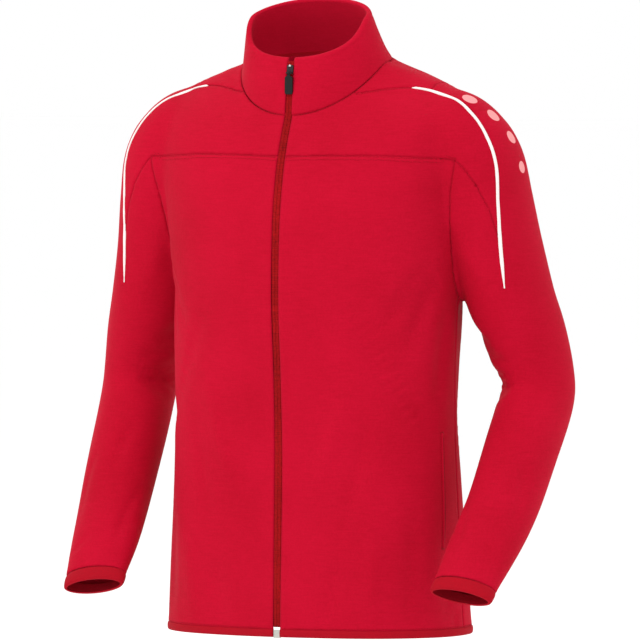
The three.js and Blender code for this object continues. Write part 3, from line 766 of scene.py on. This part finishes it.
class Stitches:
    """Short threads that are gathered into one mesh."""

    def __init__(self, skin):
        self.skin = skin
        self.points = []
        self.faces = []

    def thread(self, start, end, normal, radius):
        along = end - start
        side = np.cross(along, normal)
        side /= max(np.linalg.norm(side), 1e-9)
        first = len(self.points)
        for share, scale in ((0, 0.35), (0.2, 0.95), (0.5, 1.1), (0.8, 0.95), (1, 0.35)):
            middle = start + along * share + normal * radius * (0.75 * scale - 0.35)
            for turn in range(THREAD_SIDES):
                angle = turn * math.pi / 3
                around = side * math.cos(angle) + normal * math.sin(angle)
                self.points.append(middle + around * radius * scale)
        self.faces += tube_faces(first, THREAD_RINGS, THREAD_SIDES)

    def along(self, line, shift, length=2.3, gap=0.9, radius=0.28):
        """A row of stitches beside a line, moved sideways on the cloth."""
        spacing = length + gap
        points = curve_points(line, spacing / 2)
        places, normals = self.skin.laid(points)
        along = np.gradient(places, axis=0)
        side = np.cross(along, normals)
        side = unit(side)
        places, normals = self.skin.laid(places + side * shift)
        for index in range(0, len(places) - 1, 2):
            step = places[index + 1] - places[index]
            reach = step * (length / max(np.linalg.norm(step), 1e-9))
            self.thread(places[index], places[index] + reach, normals[index], radius)

    def bartack(self, place, reach, rows=6, radius=0.3):
        """Close threads across the end of a pocket."""
        for row in range(rows):
            lower = np.array([0, 0, (row - rows / 2) * 0.5])
            ends, normals = self.skin.laid(np.array([place + lower - reach, place + lower + reach]))
            self.thread(ends[0], ends[1], normals[0], radius)

    def finished(self, name):
        thing = mesh_object(name, self.points, self.faces)
        face_outward(thing)
        return thing


def shoulder_seam(side):
    return SHOULDER_LINE[1:PIPING_START + 1] * [side, 1, 1]


def neck_ring(share):
    """A line just below the neck seam, from one side of the zip round to the other."""
    rows = fill_rows(BODY_ROWS[NECK_ROW - 1:NECK_ROW + 1], 100)
    row = rows[int(round(share * 100))]
    return body_points(row, open_ring_angles(row, 60)[1:-1])


def hem_ring():
    ring = body_points(BODY_ROWS[0], open_ring_angles(BODY_ROWS[0], 90)[1:-1])
    ring[:, 2] = HEM_HEIGHT + HEM_BINDING + 2.2
    return ring


def cuff_ring(side):
    rows, _, _, depth = arm_end()
    row = int(np.argmin(np.abs(depth + CUFF_BINDING + 2.4)))
    ring = sleeve_points(rows, np.linspace(0, 2 * math.pi, 49))[row]
    return ring * [side, 1, 1]


def front_profile():
    """The zip's line from the hem to the collar's top: places, outward and wall."""
    rows = fill_rows(BODY_ROWS, 14)
    line = np.stack([np.zeros(len(rows)), rows[:, 2], rows[:, 3]], axis=1)
    line = line[line[:, 2] > -690]
    up = np.gradient(line, axis=0)
    up = unit(up)
    out = np.stack([np.zeros(len(up)), -up[:, 2], up[:, 1]], axis=1)
    wall = np.interp(line[:, 2], [-66, -50], [CLOTH, COLLAR_WALL])
    return line, out, wall


def zip_tape(side):
    line, out, wall = front_profile()
    keep = line[:, 2] < 0.5
    line, out, wall = line[keep], out[keep], wall[keep]
    rows = []
    for point, outward, cloth in zip(line, out, wall):
        section = [(0.1, 0.55), (0.35, 0.2), (0.9, 0.05), (1.5, 0.12), (1.75, 0.4), (2.0, 0.45), (2.3, 0.3),
                   (3.2, 0.35), (4.0, 0.6), (4.3, cloth + 0.8), (10.5, cloth + 1.6), (10.5, cloth + 2.3),
                   (4.0, cloth + 1.9), (0.1, cloth + 1.9)]
        rows.append([point - outward * depth + np.array([x * side, 0, 0]) for x, depth in section])
    return tube_solid(f"zip_tape_{side_name(side)}_cloth", np.array(rows))


def coil(side):
    """The coil's turns on the tape's inner face."""
    line, out, wall = front_profile()
    keep = line[:, 2] < -9
    line, out, wall = line[keep], out[keep], wall[keep]
    length = length_along(line)
    turns = int(length[-1] / COIL_PITCH)
    where = np.linspace(0.5, length[-1] - 0.5, turns)
    places = places_along(length, line, where)
    outward = places_along(length, out, where)
    depth = np.interp(where, length, wall) + 2.3
    points, faces = [], []
    for place, out_way, down in zip(places, outward, depth):
        first = len(points)
        up = np.cross(out_way, [1, 0, 0])
        for ring in range(THREAD_RINGS):
            x = 0.25 + ring * 0.75
            for turn in range(THREAD_SIDES):
                angle = turn * math.pi / 3
                swell = 0.62 if 0 < ring < 4 else 0.3
                points.append(place - out_way * (down + swell * math.sin(angle))
                              + up * (swell * math.cos(angle) + ring * 0.12) + np.array([x * side, 0, 0]))
        faces += tube_faces(first, THREAD_RINGS, THREAD_SIDES)
    thing = mesh_object(f"zip_coil_{side_name(side)}", points, faces)
    face_outward(thing)
    return thing


def slider_nose():
    """The bright worn nose of the slider, a small rounded bar."""
    line, out, _ = front_profile()
    nearest = int(np.argmin(np.abs(line[:, 2] + 5.5)))
    middle, outward = line[nearest] + out[nearest] * 2.3, out[nearest]
    up = np.cross(outward, [1.0, 0, 0])
    up *= np.sign(up[2])
    turns = np.linspace(0, 2 * math.pi, 16, endpoint=False)
    rows = []
    for lift in np.linspace(-math.pi / 2 + 0.1, math.pi / 2 - 0.1, 9):
        centre = middle + np.array([1.9 * math.sin(lift), 0, 0])
        rows.append([centre + (outward * math.cos(turn) * 0.9 + up * math.sin(turn) * 1.5) * math.cos(lift)
                     for turn in turns])
    return tube_solid("slider_nose", np.array(rows))


def piping(skin, side):
    line = curve_points(SHOULDER_LINE[PIPING_START:] * [side, 1, 1], 1.5)
    places, normals = skin.laid(line)
    for _ in range(12):
        places[1:-1] = (places[:-2] + places[1:-1] * 2 + places[2:]) / 4
        normals[1:-1] = (normals[:-2] + normals[1:-1] * 2 + normals[2:]) / 4
    normals = unit(normals)
    share = np.linspace(0, 1, len(places))
    taper = np.clip(np.minimum(share / 0.015, (1 - share) / 0.10), 0.2, 1) ** 0.6
    angles = np.linspace(0, 2 * math.pi, 16, endpoint=False)
    section = np.stack([2.3 * np.cos(angles), 0.55 + 1.3 * np.sin(angles)], axis=1)
    return swept(f"piping_{side_name(side)}_cord", places, normals, section, taper)


POCKET_LINE_Y = -27.0
POCKET_TOP = -450.0
POCKET_BOTTOM = -590.0


def pocket_line(side):
    heights = np.linspace(POCKET_TOP, POCKET_BOTTOM, 9)
    bend = np.array([0, 0, 0, 0, -0.4, -1.0, -1.8, -2.6, -3.2])
    return np.stack([np.full(9, 183.0 * side), POCKET_LINE_Y + bend, heights], axis=1)


def pocket_welt(skin, side):
    places, normals = skin.laid(curve_points(pocket_line(side), 2))
    section = [(-2.1, -0.3), (-2.1, 0.5), (-1.5, 0.95), (0.0, 1.05), (1.2, 0.95), (1.75, 0.45), (1.75, -0.3)]
    return swept(f"pocket_welt_{side_name(side)}_cloth", places, normals, section)


# A near-black strip along the pocket's opening: painted shadow inside the slit
def pocket_slit(skin, side):
    places, normals = skin.laid(curve_points(pocket_line(side) + [0, 2.6, 0], 2)[3:-3])
    section = [(-0.55, -0.2), (-0.55, 0.28), (0.55, 0.28), (0.55, -0.2)]
    return swept(f"pocket_slit_{side_name(side)}", places, normals, section)


def node_tree(name, colour, roughness, sheen=0.0, metallic=0.0, gloss=0.5):
    material = bpy.data.materials.new(name)
    material.use_nodes = True
    shader = material.node_tree.nodes["Principled BSDF"]
    shader.inputs["Base Color"].default_value = (*colour, 1)
    shader.inputs["Roughness"].default_value = roughness
    shader.inputs["Metallic"].default_value = metallic
    shader.inputs["Sheen Weight"].default_value = sheen
    shader.inputs["Sheen Roughness"].default_value = 0.45
    shader.inputs["Sheen Tint"].default_value = (1.0, 0.25, 0.28, 1)
    shader.inputs["Specular IOR Level"].default_value = gloss
    return material, material.node_tree, shader


def add_node(tree, kind, **settings):
    node = tree.nodes.new(kind)
    for key, value in settings.items():
        if hasattr(node, key):
            setattr(node, key, value)
        else:
            node.inputs[key.replace("_", " ")].default_value = value
    return node


def math_node(tree, operation, first, second=None):
    node = tree.nodes.new("ShaderNodeMath")
    node.operation = operation
    for index, value in enumerate((first, second)):
        if value is None:
            continue
        if isinstance(value, (int, float)):
            node.inputs[index].default_value = value
        else:
            tree.links.new(value, node.inputs[index])
    return node.outputs[0]


def mapped(tree, value, **limits):
    node = tree.nodes.new("ShaderNodeMapRange")
    for key, limit in limits.items():
        node.inputs[key.replace("_", " ")].default_value = limit
    tree.links.new(value, node.inputs["Value"])
    return node.outputs["Result"]


def noise(tree, place, scale, detail=2.0):
    node = add_node(tree, "ShaderNodeTexNoise", Scale=scale, Detail=detail)
    tree.links.new(place, node.inputs["Vector"])
    return node.outputs["Fac"]


def add_bump(tree, shader, height, strength, distance):
    bump = add_node(tree, "ShaderNodeBump", Strength=strength, Distance=distance)
    tree.links.new(height, bump.inputs["Height"])
    tree.links.new(bump.outputs["Normal"], shader.inputs["Normal"])


def mixed_colour(tree, factor, first, second):
    mix = tree.nodes.new("ShaderNodeMix")
    mix.data_type = "RGBA"
    tree.links.new(factor, mix.inputs["Factor"])
    for name, value in (("A", first), ("B", second)):
        socket = [s for s in mix.inputs if s.name == name and s.type == "RGBA"][0]
        if isinstance(value, tuple):
            socket.default_value = (*value, 1)
        else:
            tree.links.new(value, socket)
    return [s for s in mix.outputs if s.type == "RGBA"][0]


def knit_height(tree, place, wale, course):
    """Knit loops as a height: upright wales crossed by courses, at their real size in metres."""
    split = tree.nodes.new("ShaderNodeSeparateXYZ")
    tree.links.new(place, split.inputs[0])
    around = math_node(tree, "ADD", split.outputs[0], split.outputs[1])
    ridge = math_node(tree, "SINE", math_node(tree, "MULTIPLY", around, 2 * math.pi / wale))
    loop = math_node(tree, "SINE", math_node(tree, "MULTIPLY", split.outputs[2], 2 * math.pi / course))
    half_ridge = math_node(tree, "MULTIPLY", ridge, 0.5)
    half_loop = math_node(tree, "MULTIPLY", loop, 0.5)
    return math_node(tree, "ADD", half_ridge, half_loop)


def cloth_material(name, colour, deep, wale=0.0011, course=0.0009, relief=0.00012, dots=()):
    """Brushed polyester knit: fine loops, a soft nap, slightly uneven dye and heathered courses."""
    material, tree, shader = node_tree(name, colour, 0.8, sheen=0.05, gloss=0.06)
    place = tree.nodes.new("ShaderNodeTexCoord").outputs["Object"]
    blotch = noise(tree, place, 9.0, 3.0)
    stretch = add_node(tree, "ShaderNodeMapping")
    stretch.inputs["Scale"].default_value = (60, 60, 900)
    tree.links.new(place, stretch.inputs["Vector"])
    heather = noise(tree, stretch.outputs["Vector"], 1.0)
    nap = noise(tree, place, 1400.0)
    speck = noise(tree, place, 420.0)
    mottle = math_node(tree, "ADD", math_node(tree, "MULTIPLY", blotch, 0.4),
                       math_node(tree, "MULTIPLY", heather, 0.3))
    mottle = math_node(tree, "ADD", mottle, math_node(tree, "MULTIPLY", speck, 0.3))
    spread = mapped(tree, mottle, From_Min=0.36, From_Max=0.64)
    paint = mixed_colour(tree, spread, deep, colour)
    for centre, radius in dots:
        gap = tree.nodes.new("ShaderNodeVectorMath")
        gap.operation = "DISTANCE"
        tree.links.new(place, gap.inputs[0])
        gap.inputs[1].default_value = centre
        rough = math_node(tree, "MULTIPLY", nap, 0.0006)
        away = math_node(tree, "ADD", gap.outputs["Value"], rough)
        edge = mapped(tree, away, From_Min=radius + 0.0005, From_Max=radius - 0.0001)
        paint = mixed_colour(tree, math_node(tree, "MULTIPLY", edge, DOT_COVER), paint, DOT_PINK)
    tree.links.new(paint, shader.inputs["Base Color"])
    loops = knit_height(tree, place, wale, course)
    height = math_node(tree, "ADD", loops, math_node(tree, "MULTIPLY", nap, 1.2))
    add_bump(tree, shader, height, 0.55, relief)
    return material


def simple_material(name, colour, roughness, grain, relief, metallic=0.0, wear=None, gloss=0.5):
    """A plain finish with a fine grain, uneven gloss and a second tone where it is worn."""
    material, tree, shader = node_tree(name, colour, roughness, metallic=metallic, gloss=gloss)
    place = tree.nodes.new("ShaderNodeTexCoord").outputs["Object"]
    specks = noise(tree, place, grain, 4.0)
    if wear:
        tree.links.new(mixed_colour(tree, specks, colour, wear), shader.inputs["Base Color"])
    uneven = mapped(tree, specks, To_Min=max(roughness - 0.1, 0.05), To_Max=min(roughness + 0.12, 1))
    tree.links.new(uneven, shader.inputs["Roughness"])
    add_bump(tree, shader, specks, 0.5, relief)
    return material


def finish_piece(thing, material, slot, *nodes):
    thing.data.materials.clear()
    thing.data.materials.append(material)
    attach(thing, BODY)
    if nodes:
        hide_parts(*nodes)
    return thing


def area_light(name, place, target, size, power):
    data = bpy.data.lights.new(name, "AREA")
    data.shape = "RECTANGLE"
    data.size, data.size_y = size
    data.energy = power
    light = bpy.data.objects.new(name, data)
    light.location = place
    light.rotation_euler = (Vector(target) - Vector(place)).to_track_quat("-Z", "Y").to_euler()
    bpy.context.collection.objects.link(light)
    return light


def make_studio():
    """A pale floor under the hem, soft lights and a white surround."""
    floor = mesh_object("floor", np.array([(-40, -40, 0), (40, -40, 0), (40, 40, 0), (-40, 40, 0)]) / MM
                        + [0, 0, -860], [(0, 1, 2, 3)])
    material, tree, shader = node_tree("floor_paint", (1, 1, 1), 0.95, gloss=0.1)
    floor.data.materials.append(material)
    world = bpy.data.worlds.new("studio")
    bpy.context.scene.world = world
    world.use_nodes = True
    background = world.node_tree.nodes["Background"]
    background.inputs["Color"].default_value = (1, 1, 1, 1)
    background.inputs["Strength"].default_value = 1.0
    area_light("key", (-1.6, -3.0, 1.6), (0, 0, -0.3), (1.6, 1.6), 30)
    area_light("fill", (2.8, -2.4, 0.6), (0, 0, -0.35), (1.8, 1.8), 7)
    area_light("above", (-0.3, -1.2, 2.4), (0, 0, 0), (1.0, 1.0), 22)
    neck = area_light("neck", (0, -0.02, -0.14), (0, 0.07, 0.05), (0.1, 0.1), 0.12)
    neck.visible_camera = False
    area_light("rim_left", (-2.4, 1.8, 0.8), (0, 0, -0.3), (1.0, 2.0), 12)
    area_light("rim_right", (2.6, 1.6, 0.8), (0, 0, -0.3), (1.0, 2.0), 12)
    bpy.context.scene.view_settings.view_transform = "Standard"


RED = (0.495, 0.0025, 0.0235)
RED_DEEP = (0.40, 0.0013, 0.015)
BINDING_RED = (0.40, 0.003, 0.013)
DOT_PINK = (0.84, 0.34, 0.34)
DOT_COVER = 0.93
ZIP_RED = (0.44, 0.006, 0.009)

camera = make_camera()
make_studio()

skin_points, skin_triangles, skin_panels = dressed_skin()
skin = Skin(skin_points, skin_triangles)

dot_places = [((x * MM, y * MM, z * MM), size / 2 * MM) for x, y, z, size in DOTS]
red_knit = cloth_material("red_knit", RED, RED_DEEP)
printed_knit = cloth_material("red_knit_with_dots", RED, RED_DEEP, dots=dot_places)
binding_knit = cloth_material("binding_knit", BINDING_RED, (0.34, 0.004, 0.013), 0.0016, 0.0007, 0.0002)
zip_weave = cloth_material("zip_weave", ZIP_RED, (0.15, 0.002, 0.003), 0.0009, 0.0014, 0.0004)
# Stitch thread: its own red, darkened further as painted shade so that the stitch rows read as shaded lines
thread_with_painted_shade = simple_material("thread_with_painted_shade", (0.30, 0.002, 0.010), 0.7, 2500.0, 0.00005, gloss=0.1)
cord_finish = simple_material("piping_satin", (0.86, 0.82, 0.79), 0.5, 1800.0, 0.0001, gloss=0.2,
                              wear=(0.80, 0.72, 0.70))
# Near-black colour of the pocket slit: painted shadow
slit_painted_shadow = simple_material("slit_shadow", (0.05, 0.002, 0.004), 0.9, 900.0, 0.00005, gloss=0.05)
slider_paint = simple_material("slider_paint", (0.008, 0.009, 0.009), 0.3, 700.0, 0.00004, 0.0,
                               wear=(0.02, 0.02, 0.02), gloss=0.2)
pull_rubber = simple_material("pull_rubber", (0.006, 0.008, 0.007), 0.45, 900.0, 0.00005,
                              wear=(0.012, 0.014, 0.013), gloss=0.15)
box_metal = simple_material("box_metal", (0.55, 0.55, 0.50), 0.4, 900.0, 0.00004, 0.7,
                            wear=(0.42, 0.42, 0.38))
steel = simple_material("steel", (0.55, 0.55, 0.54), 0.25, 900.0, 0.00003, 1.0, wear=(0.4, 0.4, 0.39))
coil_nylon = simple_material("coil_nylon", (0.22, 0.005, 0.008), 0.4, 1500.0, 0.00004)

# Each panel cut from the skin, thickened into cloth and given its knit; its solid is hidden
for number, name in enumerate(PANELS):
    part = biggest_part(skin_triangles[skin_panels == number], len(skin_points))
    panel = applied(cut_panel(f"{name}_cloth", skin_points, part))
    printed = name in ("sleeve_left", "yoke_left", "back")
    finish_piece(panel, printed_knit if printed else red_knit, "cloth", name)

collar_piece = finish_piece(collar(), red_knit, "cloth", "collar")
tape_piece = finish_piece(neck_tape(), binding_knit, "binding")
hem_piece = finish_piece(hem_binding(), binding_knit, "binding", "hem_binding")
for side, label in ((1, "left"), (-1, "right")):
    cuff_piece = finish_piece(cuff_binding(side), binding_knit, "binding", f"cuff_binding_{label}")
    tape = finish_piece(zip_tape(side), zip_weave, "zip", f"zip_tape_{label}")
    finish_piece(coil(side), coil_nylon, "zip")
    finish_piece(piping(skin, side), cord_finish, "piping", f"piping_{label}")
    welt = finish_piece(pocket_welt(skin, side), red_knit, "cloth", f"pocket_welt_{label}")
    finish_piece(pocket_slit(skin, side), slit_painted_shadow, "cloth")

finish_piece(slider_nose(), steel, "black_metal")
stitches = Stitches(skin)
for side in (1, -1):
    flip = np.array([side, 1, 1])
    yoke_line = np.array([(x, -100, z) for x, z in YOKE_EDGE[:5]]) * flip
    yoke_line[:, 1] = [-113, -110, -100, -80, -45]
    yoke_line[0, 0] = 6 * side
    stitches.along(yoke_line, 2.0)
    stitches.along(yoke_line, -2.0)
    stitches.along(pocket_line(side), 3.4)
    stitches.bartack(pocket_line(side)[0], np.array([0, 4.2, 0]))
    stitches.bartack(pocket_line(side)[-1], np.array([0, 4.2, 0]))
    stitches.along(shoulder_seam(side), 2.0)
    stitches.along(cuff_ring(side), 0.0, length=2.6, gap=1.2)
stitches.along(neck_ring(0.93), 0.0)
stitches.along(hem_ring(), 0.0, length=2.6, gap=1.2)
# The stitches carry the thread colour darkened as painted shade along the seams
finish_piece(stitches.finished("stitches"), thread_with_painted_shade, "cloth")

for node, material in (("zip_slider", slider_paint), ("zip_pull", pull_rubber), ("zip_box", box_metal)):
    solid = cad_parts[node]
    solid.data.materials.clear()
    solid.data.materials.append(material)
